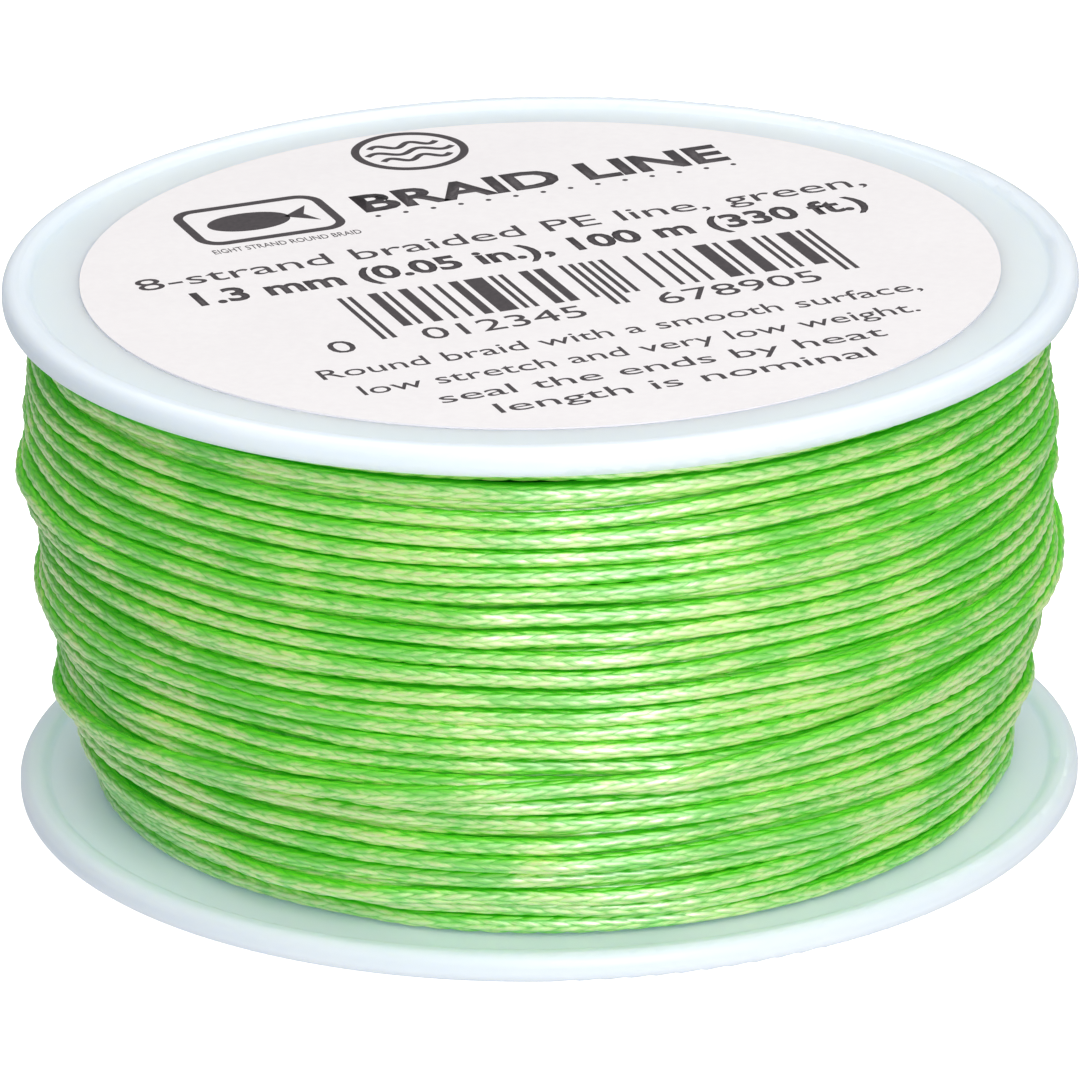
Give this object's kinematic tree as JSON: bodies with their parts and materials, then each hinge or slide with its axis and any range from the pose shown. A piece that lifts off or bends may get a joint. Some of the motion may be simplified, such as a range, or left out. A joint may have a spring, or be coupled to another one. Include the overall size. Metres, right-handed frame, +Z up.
{
  "type": "fishing line spool",
  "caption": "Flanged plastic bobbin with a drum, a blind spindle bore and a round top label, wound full of green braided line.",
  "frame": {"origin": "on the bobbin's axis, in the plane it stands on, which is the flat of the lower flange's rim", "axes": "+Z up along the bobbin's axis, towards the labelled flange"},
  "size_m": [0.076, 0.076, 0.039],
  "materials": {
    "bobbin_plastic": "satin",
    "label_paper": "satin",
    "hold_down_tape": "matte",
    "braided_line": "satin"
  },
  "bodies": {
    "root": {"lower_flange": "bobbin_plastic", "upper_flange": "bobbin_plastic", "hub_core": "bobbin_plastic", "top_label": "label_paper", "start_tape": "hold_down_tape", "line_start": "braided_line", "line_inner_layers": "braided_line", "line_outer_layers": "braided_line", "line_end": "braided_line"}
  },
  "joints": []
}
